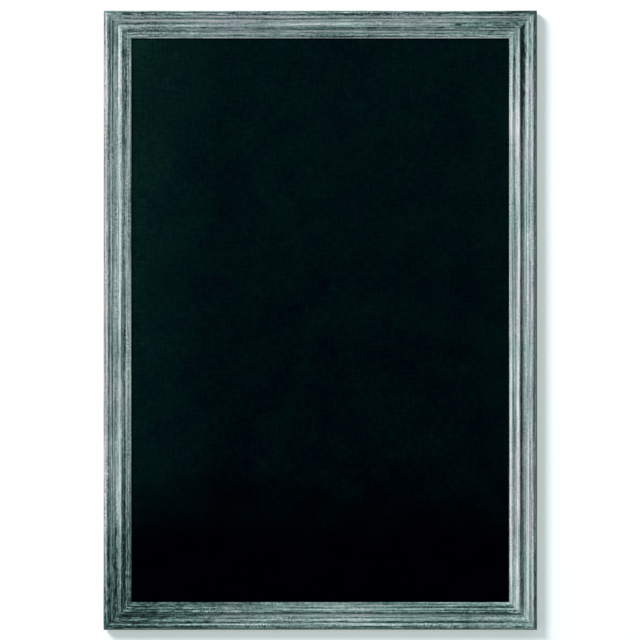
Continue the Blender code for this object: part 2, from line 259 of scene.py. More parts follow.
def in_order(start):
    """A loop's vertices from start, first towards the larger X."""
    path = [start, max((e.other_vert(start) for e in start.link_edges), key=lambda v: v.co.x)]
    while path[-1] is not start:
        ahead = [e.other_vert(path[-1]) for e in path[-1].link_edges]
        path.append(ahead[0] if ahead[1] is path[-2] else ahead[1])
    return path[:-1]


outer_arris = max((v for v in section.verts if v.co.x < WELD), key=lambda v: v.co.y)
outline = np.array([v.co.xy for v in in_order(outer_arris)])
print("section points:", len(outline))

# %% Measures taken off the section
RAIL_WIDTH = outline[:, 0].max()
SIDE_HEIGHT = outer_arris.co.y
BACK_WIDTH = outline[outline[:, 1] < WELD, 0].max()
steps = np.hypot(*np.diff(outline, axis=0, append=outline[:1]).T)
girth = np.concatenate([[0], np.cumsum(steps)[:-1]])
back_corner = int(np.argmin(np.hypot(outline[:, 0] - BACK_WIDTH, outline[:, 1])))
girth[back_corner + 1:] -= steps.sum()
sight_edge = int(np.argmax(outline[:, 0]))

# Crests and hollows are the face's height against its mean over a short reach
MEAN_REACH = 2.6 * MM
ACROSS_STEP = 0.1 * MM
across = np.arange(0, RAIL_WIDTH, ACROSS_STEP)
face_height = np.interp(across, outline[:sight_edge + 1, 0], outline[:sight_edge + 1, 1])
reach = int(MEAN_REACH / ACROSS_STEP)
padded = np.pad(face_height, reach, mode="reflect", reflect_type="odd")
mean_height = np.convolve(padded, np.ones(2 * reach + 1) / (2 * reach + 1), mode="valid")
hollow_across = mean_height - face_height
print("rail width", RAIL_WIDTH, "hollow", hollow_across.max(), "crest", -hollow_across.min())

# %% [markdown]
# ## Sweeping and mitring a rail
# A rail is the section extruded along its length. One long extrusion has no points between its ends, so
# its long edges are then divided into short stations, which takes two steps where extruding station by
# station would take hundreds. Both ends are cut by a plane at 45 degrees, a hair short of the corner, and
# capped.

# %% Sweep and mitre
STATION_PITCH = 1.25 * MM
MITRE_HAIR = 0.03 * MM


def swept_rail(length):
    """The section run along a rail's length and mitred at both ends, in the rail's own space."""
    shape = section.copy()
    bmesh.ops.translate(shape, verts=shape.verts, vec=(0, 0, -length / 2 - outer_arris.co.z))
    far_end = bmesh.ops.extrude_edge_only(shape, edges=shape.edges)["geom"]
    far_points = [v for v in far_end if isinstance(v, bmesh.types.BMVert)]
    bmesh.ops.translate(shape, verts=far_points, vec=(0, 0, length))
    lengthwise = [e for e in shape.edges if e.calc_length() > length / 2]
    bmesh.ops.subdivide_edges(shape, edges=lengthwise, cuts=math.ceil(length / STATION_PITCH) - 1)
    for end in (-1, 1):
        bmesh.ops.bisect_plane(
            shape, geom=whole(shape), dist=WELD, plane_co=(0, 0, end * (length / 2 - MITRE_HAIR)),
            plane_no=(1, 0, end), clear_outer=True,
        )
    bmesh.ops.holes_fill(shape, edges=[e for e in shape.edges if e.is_boundary], sides=0)
    return shape


print("stations along a stile:", math.ceil(rail_space("left_stile")[1] / STATION_PITCH))

# %% [markdown]
# ## Kerfs for the fasteners
# Nails, points and screws are driven into the wood, so each needs room in its rail. The slots could be
# drawn one by one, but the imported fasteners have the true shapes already: a copy of each is grown a
# little, and a Boolean takes all of a rail's copies out of it at once.

# %% Cutting
def carved(mesh, cutters):
    """The mesh with closed cutters taken out of it; the manifold solver is quick on dense rails."""
    bench = bpy.data.collections.new("cutters")
    scene.collection.children.link(bench)
    blank = bpy.data.objects.new("blank", mesh)
    scene.collection.objects.link(blank)
    for cutter in cutters:
        bench.objects.link(bpy.data.objects.new("cutter", cutter))
    saw = blank.modifiers.new("Saw", "BOOLEAN")
    saw.operand_type = "COLLECTION"
    saw.collection = bench
    saw.solver = "MANIFOLD"
    evaluated = blank.evaluated_get(bpy.context.evaluated_depsgraph_get())
    result = bpy.data.meshes.new_from_object(evaluated)
    for scrap in [blank, *bench.objects]:
        bpy.data.objects.remove(scrap)
    bpy.data.collections.remove(bench)
    result.name = mesh.name
    result.materials.clear()
    return result


FASTENERS = [n for n in frame["nodes"] if n.endswith(("nail", "screw")) or "_point_" in n]
print("fasteners that need room in the wood:", len(FASTENERS))

# %% Kerfs and the four rails
KERF_PLAY = 0.2 * MM
KERF_OVERRUN = 2 * MM
NAIL_REAR = 1 * MM


def kerf(node):
    """A fastener's own shape, grown by the play round it; a nail's kerf runs out through the rail's back."""
    shape = merged_copy(node)
    shape.normal_update()
    moves = [(v, v.normal * v.calc_shell_factor() * KERF_PLAY) for v in shape.verts]
    rear = max(v.co.y for v in shape.verts) - NAIL_REAR
    for vertex, move in moves:
        vertex.co += move
        if node.endswith("nail") and vertex.co.y > rear:
            vertex.co.y += KERF_OVERRUN
    return to_mesh(shape, node + "_kerf")


def meets(node, other):
    """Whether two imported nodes' boxes overlap."""
    (low, high), (other_low, other_high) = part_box(node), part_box(other)
    return all(low[i] < other_high[i] and other_low[i] < high[i] for i in range(3))


rail_meshes = {}
for node in RAILS:
    space, length = rail_space(node)
    rail = swept_rail(length)
    bmesh.ops.transform(rail, matrix=space, verts=rail.verts)
    kerfs = [kerf(other) for other in FASTENERS if meets(node, other)]
    rail_meshes[node] = carved(to_mesh(rail, node + "_painted"), kerfs)
    print(node, "has", len(kerfs), "kerfs and", len(rail_meshes[node].vertices), "points")

# %% [markdown]
# ## Points of a rail
# The wear and the wash both ask where a point lies on its rail: how far in from the edge, how far from
# the mitre, on a crest or in a hollow. One small class reads that off the mesh once, before any wear. It
# also holds the rail's seeded noise, which is blurred by station and section point, so that it can run
# longer along than across.

# %% Blurred noise on a rail's grid


def soft_noise(rng, shape, along, wide):
    """Random grid with a spread of 1, blurred over so many stations along and section points across."""
    blur_along = np.exp(-2 * (math.pi * along * np.fft.fftfreq(shape[0])) ** 2)
    blur_wide = np.exp(-2 * (math.pi * wide * np.fft.fftfreq(shape[1])) ** 2)
    spectrum = np.fft.fft2(rng.standard_normal(shape)) * np.outer(blur_along, blur_wide)
    grid = np.fft.ifft2(spectrum).real
    return grid / grid.std()


def read(collection, field, size):
    """A mesh collection's values as a numpy table."""
    values = np.zeros(len(collection) * size, np.float32)
    collection.foreach_get(field, values)
    return values.reshape(-1, size).astype(float)


def in_rail_space(points, space):
    """Board points turned into a rail's own space."""
    inverse = np.array(space.inverted())
    return points @ inverse[:3, :3].T + inverse[:3, 3]


print("noise check:", soft_noise(np.random.default_rng(1), (8, 8), 2, 1).std())

# %% Points of a rail


class RailPoints:
    """A rail's points in its own space, with noise to look up at them."""

    def __init__(self, node, seed):
        self.node = node
        self.seed = seed
        self.mesh = rail_meshes[node]
        self.space, length = rail_space(node)
        self.points = read(self.mesh.vertices, "co", 3)
        self.local = in_rail_space(self.points, self.space)
        off = self.local[:, None, :2] - outline[None]
        self.nearest = np.hypot(off[..., 0], off[..., 1]).argmin(1)
        self.station = np.rint((self.local[:, 2] + length / 2) / STATION_PITCH).astype(int).clip(0)
        self.from_mitre = (length / 2 - self.local[:, 0] - np.abs(self.local[:, 2])) / math.sqrt(2)
        self.crest = np.interp(self.local[:, 0], across, -hollow_across) / MM
        self.rng = np.random.default_rng(seed)

    def noise(self, along, wide):
        """Noise with a spread of 1, blurred over so many stations and section points."""
        grid = (self.station.max() + 1, len(outline))
        return soft_noise(self.rng, grid, along, wide)[self.station, self.nearest]


rails = [RailPoints(node, seed) for seed, node in enumerate(RAILS, start=3)]
print("points on each rail:", [len(rail.points) for rail in rails])

# %% [markdown]
# ## Painted faces and grain
# The face, the outer side and the lip carry paint, and the back, the rebate and the sawn ends are bare. A
# face's direction and place tell which it is. Both finishes run with the grain, so each rail also gets
# coordinates in metres along its length and round its girth; the seed sets each rail's streaks apart from
# the others'.

# %% Painted faces and grain
SQUARE_ON = 0.9
TURNED_OUT = 0.05


def sort_faces(rail):
    """Lay coordinates along and across a rail, and tell which of its faces are painted."""
    polygons = rail.mesh.polygons
    centres = in_rail_space(read(polygons, "center", 3), rail.space)
    facing = read(polygons, "normal", 3) @ np.array(rail.space)[:3, :3]
    on_face = (facing[:, 1] > TURNED_OUT) & (centres[:, 1] > SIDE_HEIGHT)
    on_side = (facing[:, 0] < -SQUARE_ON) & (centres[:, 0] < WELD)
    on_lip = (facing[:, 0] > SQUARE_ON) & (centres[:, 0] > RAIL_WIDTH - WELD)
    on_back = facing[:, 1] < -SQUARE_ON

    corner = read(rail.mesh.loops, "vertex_index", 1)[:, 0].astype(int)
    face_of = np.repeat(np.arange(len(centres)), read(polygons, "loop_total", 1)[:, 0].astype(int))
    from_edge = -SIDE_HEIGHT - rail.local[corner, 0]
    wide = np.where(on_back[face_of], from_edge, girth[rail.nearest[corner]])
    grain = np.column_stack([rail.local[corner, 2] + rail.seed, wide])
    layer = rail.mesh.uv_layers.new(name="along_and_across")
    layer.uv.foreach_set("vector", grain.astype(np.float32).ravel())
    return on_face | on_side | on_lip


print("girth round the section:", round(steps.sum() / MM, 1), "mm")

# %% [markdown]
# ## Wear on the rails
# A hand-finished moulding isn't straight to the micron: it waves a little, and its crests have dents.
# Displacement in the finish could show both, but moving the points keeps them in the mesh. Each point
# moves along its normal, and the wear dies away at the mitres so that the corners stay closed.

# %% Waves and dents
WAVE_DEPTH = 0.06 * MM
DENT_DEPTH = 0.35 * MM
DENT_RARITY = 2.6
CREST_GAIN = 2
MITRE_FADE = 5 * MM


def wear(rail):
    """Wave a rail's painted faces and dent their crests."""
    waves = WAVE_DEPTH * rail.noise(along=30, wide=6)
    dents = DENT_DEPTH * np.clip(rail.noise(along=1.6, wide=1) - DENT_RARITY, 0, 1)
    face = (rail.local[:, 1] > SIDE_HEIGHT - WELD) | (rail.local[:, 0] < WELD)
    fade = np.clip(rail.from_mitre / MITRE_FADE, 0, 1) * face
    moved = fade * (waves - dents * np.clip(CREST_GAIN * rail.crest, 0, 1))
    normals = read(rail.mesh.vertex_normals, "vector", 3)
    worn_points = rail.points + normals * moved[:, None]
    rail.mesh.vertices.foreach_set("co", worn_points.astype(np.float32).ravel())


print("dents are up to", DENT_DEPTH / MM, "mm deep")

# %% [markdown]
# ## How much wash each member keeps, with painted highlight and shade
# The wash was wiped along each rail by hand, so every member of the moulding kept its own share of it and
# no two rails match. A painted picture could hold that, but a word for how much is left can be read and
# changed. The words were chosen to give the streaks and lines that the board shows, and values between
# two members are blended. The words also hold painted light: a slope that faces the light is given more
# wash as a painted highlight, and a slope that faces away is given less, as painted shade.

# %% Wash left on the members, with painted highlight and shade
# The members of the face from the outer edge in, with the middle of each in millimetres
MEMBERS = {
    "edge": 1, "ovolo": 2.8, "ovolo_foot": 4.6, "reed": 8.2, "reed_side": 10.4, "quirk": 12.9, "bead": 14.4,
    "bead_foot": 16.5, "cove": 20, "cove_rise": 23, "ridge_foot": 26.6, "ridge": 28, "ridge_back": 30,
    "inner_cove": 34, "inner_rise": 37.5, "lip": 42.2, "nose": 44.2,
}
# How white a member is where the wash was left thick, or rubbed back until the undercoat is nearly bare
KEPT = {"thick": 0.80, "full": 0.65, "rubbed": 0.50, "thin": 0.36, "bare": 0.22}
# The hand differed from rail to rail, and each rail's lit and shaded slopes are painted in; a member that
# isn't named here is rubbed
WASH_AND_PAINTED_LIGHT = {
    "left_stile": {
        "thick": ("ovolo_foot", "ridge_foot"), "full": ("edge", "quirk", "bead_foot", "ridge", "nose"),
        "thin": ("reed", "bead", "inner_cove"),
    },
    "right_stile": {
        "thick": ("reed", "quirk", "bead", "ridge_back", "lip"), "thin": ("edge", "ovolo_foot"),
        "full": ("bead_foot", "cove", "ridge", "inner_cove", "nose"), "bare": ("ridge_foot",),
    },
    "top_rail": {
        "thick": ("reed_side", "bead_foot", "nose"), "full": ("edge",), "bare": ("ridge",),
        "thin": ("ovolo", "ovolo_foot", "reed", "quirk", "lip"),
    },
    "bottom_rail": {
        "thick": ("cove_rise",), "full": ("ovolo", "reed", "reed_side", "bead_foot"),
        "thin": ("quirk", "bead"), "bare": ("ovolo_foot", "ridge"),
    },
}
# How much whiter or darker the whole rail is, partly standing in for the light level that rail gets
RAIL_LIFT_AND_LIGHT_LEVEL = {"left_stile": 0.005, "right_stile": -0.02, "top_rail": 0.005, "bottom_rail": -0.04}


def member_tones_and_light(node):
    """How white each member of a rail is, from the outer edge in, painted highlight and shade included."""
    tones = dict.fromkeys(MEMBERS, KEPT["rubbed"])
    for amount, members in WASH_AND_PAINTED_LIGHT[node].items():
        tones.update(dict.fromkeys(members, KEPT[amount]))
    return np.array(list(tones.values())) + RAIL_LIFT_AND_LIGHT_LEVEL[node]


def on_members(place, members):
    """1 on these members and 0 on the rest, for places across the face in millimetres."""
    return np.interp(place, list(MEMBERS.values()), [name in members for name in MEMBERS])


print("mean wash on each rail:", {node: round(member_tones_and_light(node).mean(), 3) for node in RAILS})

# %% [markdown]
# ## Corners of the wash
# The cloth smeared the wash across the mitres, but not out to the edges, and glaze gathered in the
# hollows near them, mostly at two corners. The bottom left corner stayed dark, and beside the top right
# one the cloth went through to the undercoat. Each is a share between 0 and 1 that dies away with
# distance.

# %% Smear and glaze at the mitres
SMEAR_WIDTH = 11 * MM
SMEAR_RAGGED = 6 * MM
SMEAR_SHARE = 0.75
SMEAR_STOPS = (2 * MM, 6 * MM)
GLAZE = 0.24
GLAZE_DEPTH = 0.4
GLAZE_EVEN = 0.4
GLAZE_MOST = 1.5
GLAZE_ELSEWHERE = 0.2


def smear_share(rail):
    """How far the wash is smeared over at each point; it stops short of the outer edge."""
    ragged = SMEAR_RAGGED * rail.noise(along=2, wide=2)
    smear = SMEAR_SHARE * np.exp(-((rail.from_mitre + ragged) / SMEAR_WIDTH) ** 2)
    return smear * np.interp(rail.local[:, 0], SMEAR_STOPS, (0, 1))


def glaze_share(rail):
    """How much glaze gathered in the hollows; the corners top right and bottom left have most of it."""
    gathered = np.clip(-rail.crest / GLAZE_DEPTH, 0, 1)
    gathered *= np.clip(GLAZE_EVEN + rail.noise(along=5, wide=1), 0, GLAZE_MOST)
    return GLAZE * gathered * np.where(rail.points[:, 0] * rail.points[:, 2] > 0, 1, GLAZE_ELSEWHERE)


print("the wash is smeared", SMEAR_WIDTH / MM, "mm to each side of a mitre")

# %% Dark corner and worn corner
DARK_CORNER = Vector((board_low.x, 0, board_low.z))
DARK_REACH = 150 * MM
DARK_SHARE = 0.55
WORN_CORNER = Vector((board_high.x, 0, board_high.z))
WORN_LEAST = 0.75
WORN_UNEVEN = 0.25

# Members that the cloth went through to the undercoat beside the worn corner, and how far along
WORN = {
    "right_stile": (("cove", "cove_rise", "ridge_foot"), 210 * MM),
    "top_rail": (("edge", "ovolo"), 60 * MM),
}


def near_corner(rail, corner, reach, power):
    """1 at a corner of the board, dying away over this reach."""
    away = np.hypot(rail.points[:, 0] - corner.x, rail.points[:, 2] - corner.z)
    return np.exp(-(away / reach) ** power)


def worn_share(rail, place):
    """How far each point is rubbed through beside the worn corner."""
    members, reach = WORN.get(rail.node, ((), 1))
    worn = on_members(place, members) * near_corner(rail, WORN_CORNER, reach, 4)
    return np.clip(worn * (WORN_LEAST + WORN_UNEVEN * rail.noise(along=3, wide=1)), 0, 1)


print("rails worn through beside the corner:", list(WORN))

# %% [markdown]
# ## What the paint reads
# The shares are laid over the members' tones one after another, and four values are stored on the points:
# how much wash there is, with the members' painted highlight and shade in it, how far it leans from green
# to pink, how broken its streaks are, and where the brush chattered. The finish could work them out in
# nodes, but there a member's name would be lost.

# %% Values stored for the paint
LINE_WANDER = 0.12 * MM
CORNER_REACH = 90 * MM
CORNER_DROP = 0.06
CORNER_GREEN = 0.15
CORNER_BROKEN = 0.25
EVEN_BROKEN = 0.9
SMEAR_TONE = 0.57
SMEAR_GREEN = 0.25
DARK_TONE = 0.12
WORN_TONE = 0.16

# How far each rail's wash leans from green, 0, through grey and lilac to pink, 1
TINT = {"left_stile": 0.40, "right_stile": 0.38, "top_rail": 0.48, "bottom_rail": 0.14}
# Members that lean further to pink, and how much further; they are mostly slopes that face the light, so the
# pink is partly a painted tint of highlights
PINK_AND_HIGHLIGHT_TINT = {
    "left_stile": (0.55, ("edge", "ovolo", "ovolo_foot")),
    "right_stile": (0.25, ("reed", "reed_side", "quirk", "ridge", "ridge_back", "inner_cove")),
}
# How broken each rail's streaks are
BROKEN = {"left_stile": 0.9, "right_stile": 0.62, "top_rail": 1.0, "bottom_rail": 1.15}


def store_wash(rail):
    """Give a rail's points the four values that the wash paint reads."""
    patches = np.clip(rail.noise(along=18, wide=3), 0, 1)
    place = (rail.local[:, 0] + LINE_WANDER * rail.noise(along=5, wide=2)) / MM
    corner = np.exp(-(rail.from_mitre / CORNER_REACH) ** 2)
    smear = smear_share(rail)
    dark = near_corner(rail, DARK_CORNER, DARK_REACH, 2)
    # The members' tones include painted highlight and shade as well as the wash
    tone = np.interp(place, list(MEMBERS.values()), member_tones_and_light(rail.node))
    tone -= corner * (CORNER_DROP + glaze_share(rail))
    tone += (SMEAR_TONE - tone) * smear
    tone += (DARK_TONE - tone) * DARK_SHARE * dark
    tone += (WORN_TONE - tone) * worn_share(rail, place)
    further, pink_lit_members = PINK_AND_HIGHLIGHT_TINT.get(rail.node, (0, ()))
    pink_and_highlight = further * on_members(place, pink_lit_members) * (1 - dark)
    stored = {
        "wash": tone,
        "tint": TINT[rail.node] - CORNER_GREEN * corner - SMEAR_GREEN * smear + pink_and_highlight,
        "broken": BROKEN[rail.node] * (EVEN_BROKEN + CORNER_BROKEN * corner),
        "chatter": BROKEN[rail.node] * patches,
    }
    for name, values in stored.items():
        layer = rail.mesh.attributes.new(name, "FLOAT", "POINT")
        layer.data.foreach_set("value", values.astype(np.float32))


print("brokenness of each rail:", BROKEN)

# %% Worn and washed rails
for rail in rails:
    painted = sort_faces(rail)
    wear(rail)
    store_wash(rail)
    rail.mesh.polygons.foreach_set("material_index", np.where(painted, 0, 1))
    rail.mesh.update()
    print(rail.node, "has", painted.sum(), "painted faces")

# %% [markdown]
# ## Grey-green wash over a dark undercoat
# The frame's finish is a thin water-based wash, brushed along the moulding over a black-green undercoat
# and rubbed back while it was wet. It runs in streaks along the grain, breaks into dark dashes where
# little of it is left, is smeared across the mitres, and turns from green-grey to lilac-grey. The stored
# tone of each member, which carries painted highlight and shade, plus streaks, patches and dashes gives
# how much wash is left, and a colour ramp reads it.

# %% Wash paint: the marks it is made of
LONG_STREAK = (260 * MM, 2.8 * MM)
STREAK = (45 * MM, 2.6 * MM)
FINE_STREAK = (22 * MM, 2.4 * MM)
SHORT_STREAK = (5 * MM, 3.2 * MM)
HAIR_STREAK = (7 * MM, 0.3 * MM)
CHATTER_MARK = (2.4 * MM, 5 * MM)
DASH = (14 * MM, 2.2 * MM)
PATCH = 60 * MM
TINT_PATCH = 70 * MM

# The thin wash is dry and chalky, so it has hardly any gloss, and the undercoat only a little more
wash_paint, tree, shader = new_finish("rubbed_wash_paint", {"Specular IOR Level": 0.12})
grain = add_node(tree, "UVMap", uv_map="along_and_across")
place = add_node(tree, "TexCoord").outputs["Object"]
marks = {}
for name, (long, wide), detail in (
    ("long", LONG_STREAK, 1), ("streak", STREAK, 2), ("fine", FINE_STREAK, 1), ("short", SHORT_STREAK, 1),
    ("hair", HAIR_STREAK, 2), ("chatter", CHATTER_MARK, 1), ("dash", DASH, 2),
):
    scaled = add_node(tree, "Mapping", {"Vector": grain, "Scale": (1 / long, 1 / wide, 1)})
    marks[name] = add_node(
        tree, "TexNoise", {"Vector": scaled, "Scale": 1, "Detail": detail}, noise_dimensions="2D"
    )
for name, size in (("patch", PATCH), ("tint", TINT_PATCH)):
    moved = add_node(tree, "Mapping", {"Vector": place, "Location": (size, 3 * size, 7 * size)})
    marks[name] = add_node(tree, "TexNoise", {"Vector": moved, "Scale": 1 / size, "Detail": 2})
stored = {
    name: add_node(tree, "Attribute", attribute_name=name).outputs["Fac"]
    for name in ("wash", "tint", "broken", "chatter")
}
print("wash streaks are", STREAK[1] / MM, "mm wide and about", STREAK[0] / MM, "mm long")

# %% Wash paint: how much of it is left
SHARES = {
    "long": 0.75, "patch": 0.25, "streak": 0.32, "fine": 0.28, "short": 0.32, "hair": 0.35, "chatter": 0.5,
    "dash": 0.25,
}
MIDDLE = 0.5
THIN_WASH = {1: 0.47, 2: 0.33}
DASH_GAPS = {1: 0.48, 2: 0.6, 3: 0.15, 4: -0.85}

even = {
    name: add_node(tree, "Math", {0: marks[name], 1: MIDDLE}, operation="SUBTRACT")
    for name in marks if name != "dash"
}
# Dashes are dark gaps that show only where the wash is thin
thin = add_node(tree, "MapRange", {0: stored["wash"], **THIN_WASH})
even["dash"] = add_node(tree, "MapRange", {0: marks["dash"], **DASH_GAPS})
# The streaks are as strong as the rail is broken
extent = {"long": 1.0, "patch": 1.0, "chatter": stored["chatter"], "dash": thin}
left = stored["wash"]
for name, share in SHARES.items():
    strength = extent.get(name, stored["broken"])
    mark = add_node(tree, "Math", {0: even[name], 1: strength}, operation="MULTIPLY")
    left = add_node(tree, "Math", {0: mark, 1: share, 2: left}, operation="MULTIPLY_ADD")
print("marks in the wash:", ", ".join(SHARES))

# %% Wash paint: its colour
TINT_DRIFT = 1.2
WASH_RELIEF = 0.2 * MM

# From the black-green undercoat through grey to nearly white, then tinted from green through lilac to pink
colour = add_node(
    tree, "ValToRGB", {"Fac": left},
    stops=((0.06, "#0a1817"), (0.9, "#e6e3e3"), (0.2, "#2f4645"), (0.3, "#48605f"), (0.4, "#647877"),
           (0.5, "#808f8f"), (0.62, "#9eabab"), (0.75, "#bfc5c6")),
)
leaning = add_node(
    tree, "Math", {0: even["tint"], 1: TINT_DRIFT, 2: stored["tint"]}, operation="MULTIPLY_ADD"
)
tint = add_node(
    tree, "ValToRGB", {"Fac": leaning},
    stops=((0.0, "#ebfffa"), (1.0, "#fff0ee"), (0.4, "#fafffd"), (0.7, "#fcf6ff")),
)
tinted = add_node(tree, "Mix", {0: 1.0, 6: colour, 7: tint}, data_type="RGBA", blend_type="MULTIPLY")
rough = add_node(tree, "MapRange", {0: left, 1: 0.2, 2: 0.6, 3: 0.55, 4: 0.8})
bump = add_node(tree, "Bump", {"Height": left, "Distance": WASH_RELIEF, "Strength": 0.5})
plug(tree, shader, {"Base Color": tinted.outputs[2], "Roughness": rough, "Normal": bump})
print(wash_paint.name, "has", len(tree.nodes), "nodes")

# %% [markdown]
# ## Bare pine behind
# The back, the rebate and the sawn ends were never painted. Pine shows straight growth rings, darker late
# wood, and some of the undercoat sprayed over the outer edge. The same coordinates carry the rings along
# each rail.

# %% Bare pine
RING = 4.5 * MM
RING_DRIFT = 900 * MM
ONE_WAVE = 0.314  # the Scale at which a wave texture repeats once a unit, which is pi / 10
FIBRE = (60 * MM, 0.5 * MM)
OVERSPRAY = 7 * MM
OVERSPRAY_RAGGED = 10 * MM

# Dry planed softwood: pale and matte, with darker late wood
pine, tree, shader = new_finish("bare_pine", {"Specular IOR Level": 0.25, "Roughness": 0.72})
grain = add_node(tree, "UVMap", uv_map="along_and_across")
slow = add_node(tree, "Mapping", {"Vector": grain, "Scale": (1 / RING_DRIFT, 1 / RING, 1)})
rings = add_node(
    tree, "TexWave",
    {"Vector": slow, "Scale": ONE_WAVE, "Distortion": 5, "Detail": 2, "Detail Scale": 0.7},
    bands_direction="Y", wave_profile="SAW",
)
thin = add_node(tree, "Mapping", {"Vector": grain, "Scale": (1 / FIBRE[0], 1 / FIBRE[1], 1)})
fibre = add_node(tree, "TexNoise", {"Vector": thin, "Scale": 1, "Detail": 3}, noise_dimensions="2D")
ring_colour = add_node(
    tree, "ValToRGB", {"Fac": rings.outputs["Fac"]},
    stops=((0.0, "#d9bd92"), (1.0, "#b58a5c"), (0.6, "#d2b286")),
)
fibre_colour = add_node(tree, "ValToRGB", {"Fac": fibre}, stops=((0.3, "#d8cdbf"), (0.7, "#ffffff")))
wood = add_node(
    tree, "Mix", {0: 1.0, 6: ring_colour, 7: fibre_colour}, data_type="RGBA", blend_type="MULTIPLY"
)
from_edge = add_node(tree, "SeparateXYZ", {0: grain}).outputs["Y"]
ragged = add_node(tree, "Math", {0: fibre, 1: OVERSPRAY_RAGGED, 2: from_edge}, operation="MULTIPLY_ADD")
back_edge = OVERSPRAY_RAGGED / 2 - SIDE_HEIGHT
on_back = add_node(tree, "MapRange", {0: ragged, 1: back_edge - OVERSPRAY, 2: back_edge})
outside = add_node(tree, "Math", {0: from_edge, 1: 0.0}, operation="LESS_THAN")
overspray = add_node(tree, "Math", {0: on_back, 1: outside}, operation="MULTIPLY")
sprayed = add_node(tree, "Mix", {0: overspray, 6: wood.outputs[2], 7: linear("#2b3534")}, data_type="RGBA")
bump = add_node(tree, "Bump", {"Height": fibre, "Distance": 0.1 * MM, "Strength": 0.5})
plug(tree, shader, {"Base Color": sprayed.outputs[2], "Normal": bump})
print(pine.name, "has rings", RING / MM, "mm apart")

# %% The four rails as pieces
for rail in rails:
    add_piece(rail.node + "_painted", rail.mesh, [wash_paint, pine], "board", "frame_paint", rail.node)

# %% [markdown]
# ## The writing panel
# The panel is a fibreboard sheet with its arrises eased, coated on the front only. It starts as a box and
# is bevelled. Its front is a matte black-green coating with faint flecks of wiped chalk and a painted sheen
# that is lighter at the top and the left, a little lighter at the right edge, and gone at the foot. Its back
# keeps the fine screen pattern that the press leaves on hardboard.

# %% Panel mesh
PANEL_ARRIS = 0.6 * MM
panel_low, panel_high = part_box("writing_panel")
panel = bmesh.new()
bmesh.ops.create_cube(panel, size=1)
bmesh.ops.scale(panel, vec=panel_high - panel_low, verts=panel.verts)
bmesh.ops.translate(panel, vec=(panel_low + panel_high) / 2, verts=panel.verts)
bmesh.ops.bevel(
    panel, geom=panel.edges, affect="EDGES", offset=PANEL_ARRIS, segments=3, profile=0.5, material=-1
)
coating_edge = panel_low.y + PANEL_ARRIS
for face in panel.faces:
    face.material_index = 0 if face.calc_center_median().y < coating_edge else 1
panel_mesh = to_mesh(panel, "coated_panel")
print("panel faces:", len(panel_mesh.polygons))

# %% Blackboard coating: chalk flecks and painted sheen
MOTTLE = 60 * MM
MOTTLE_SHARE = 0.4
WIPE = (14 * MM, 4 * MM)
WIPE_SHARE = 0.5
CHALK_AND_SHEEN_BASE = -0.34
PAINTED_SHEEN_UPWARD = 0.36
# Painted sheen, more at the left and a little at the right: where it starts, where it is full, and how much
# it adds
PAINTED_SIDE_SHEEN = ((-160 * MM, -295 * MM, 0.4), (240 * MM, 305 * MM, 0.12))

# Filled, dead-flat paint: it gives back almost no light; its colour holds flecks of wiped chalk and a
# painted sheen
coating, tree, shader = new_finish("blackboard_coating", {"Specular IOR Level": 0.004, "Roughness": 0.9})
place = add_node(tree, "TexCoord").outputs["Object"]
axes = add_node(tree, "SeparateXYZ", {0: place})
mottle = add_node(tree, "TexNoise", {"Vector": place, "Scale": 1 / MOTTLE, "Detail": 5})
shares = [(axes.outputs["Z"], PAINTED_SHEEN_UPWARD), (mottle, MOTTLE_SHARE)]
for start, full, share in PAINTED_SIDE_SHEEN:
    shares.append((add_node(tree, "MapRange", {0: axes.outputs["X"], 1: start, 2: full}), share))
for long, high in (WIPE, WIPE[::-1]):
    wiped = add_node(tree, "Mapping", {"Vector": place, "Scale": (1 / long, 1, 1 / high)})
    fleck = add_node(tree, "TexNoise", {"Vector": wiped, "Scale": 1, "Detail": 1})
    shares.append((fleck, WIPE_SHARE))
chalk_and_sheen = CHALK_AND_SHEEN_BASE
for value, share in shares:
    chalk_and_sheen = add_node(tree, "Math", {0: value, 1: share, 2: chalk_and_sheen}, operation="MULTIPLY_ADD")
print("wiped flecks are about", WIPE[0] / MM, "by", WIPE[1] / MM, "mm")

# %% Blackboard coating: painted sheen fading out at the foot, and colour
SHEEN_GONE_AT_FOOT = (-380 * MM, -210 * MM)
SHEEN_FOOT_RAGGED = 100 * MM
GREEN_PATCH = 45 * MM
HUE_DRIFT = {1: 0.35, 2: 0.65, 3: 0.515, 4: 0.455}
GRIT = 1.8 * MM
GRIT_RELIEF = 0.1 * MM

# The painted sheen fades out towards the foot, which paints the bottom of the panel darker
foot = add_node(tree, "Math", {0: mottle, 1: MIDDLE}, operation="SUBTRACT")
foot = add_node(tree, "Math", {0: foot, 1: SHEEN_FOOT_RAGGED, 2: axes.outputs["Z"]}, operation="MULTIPLY_ADD")
sheen_above_foot = add_node(
    tree, "MapRange", {0: foot, 1: SHEEN_GONE_AT_FOOT[0], 2: SHEEN_GONE_AT_FOOT[1]},
    interpolation_type="SMOOTHSTEP",
)
shown = add_node(tree, "Math", {0: chalk_and_sheen, 1: sheen_above_foot}, operation="MULTIPLY")
colour = add_node(
    tree, "ValToRGB", {"Fac": shown},
    stops=((0.0, "#000003"), (1.0, "#0a2220"), (0.25, "#00080d"), (0.5, "#010f12"), (0.75, "#031718")),
)
# The coating drifts between blue-black and green-black in patches
patch = add_node(tree, "TexNoise", {"Vector": place, "Scale": 1 / GREEN_PATCH, "Detail": 4})
hue = add_node(tree, "MapRange", {0: patch, **HUE_DRIFT})
drifting = add_node(tree, "HueSaturation", {"Hue": hue, "Color": colour})
grit = add_node(tree, "TexNoise", {"Vector": place, "Scale": 1 / GRIT, "Detail": 1})
bump = add_node(tree, "Bump", {"Height": grit, "Distance": GRIT_RELIEF, "Strength": 0.4})
plug(tree, shader, {"Base Color": drifting, "Normal": bump})
print(coating.name, "has", len(tree.nodes), "nodes")

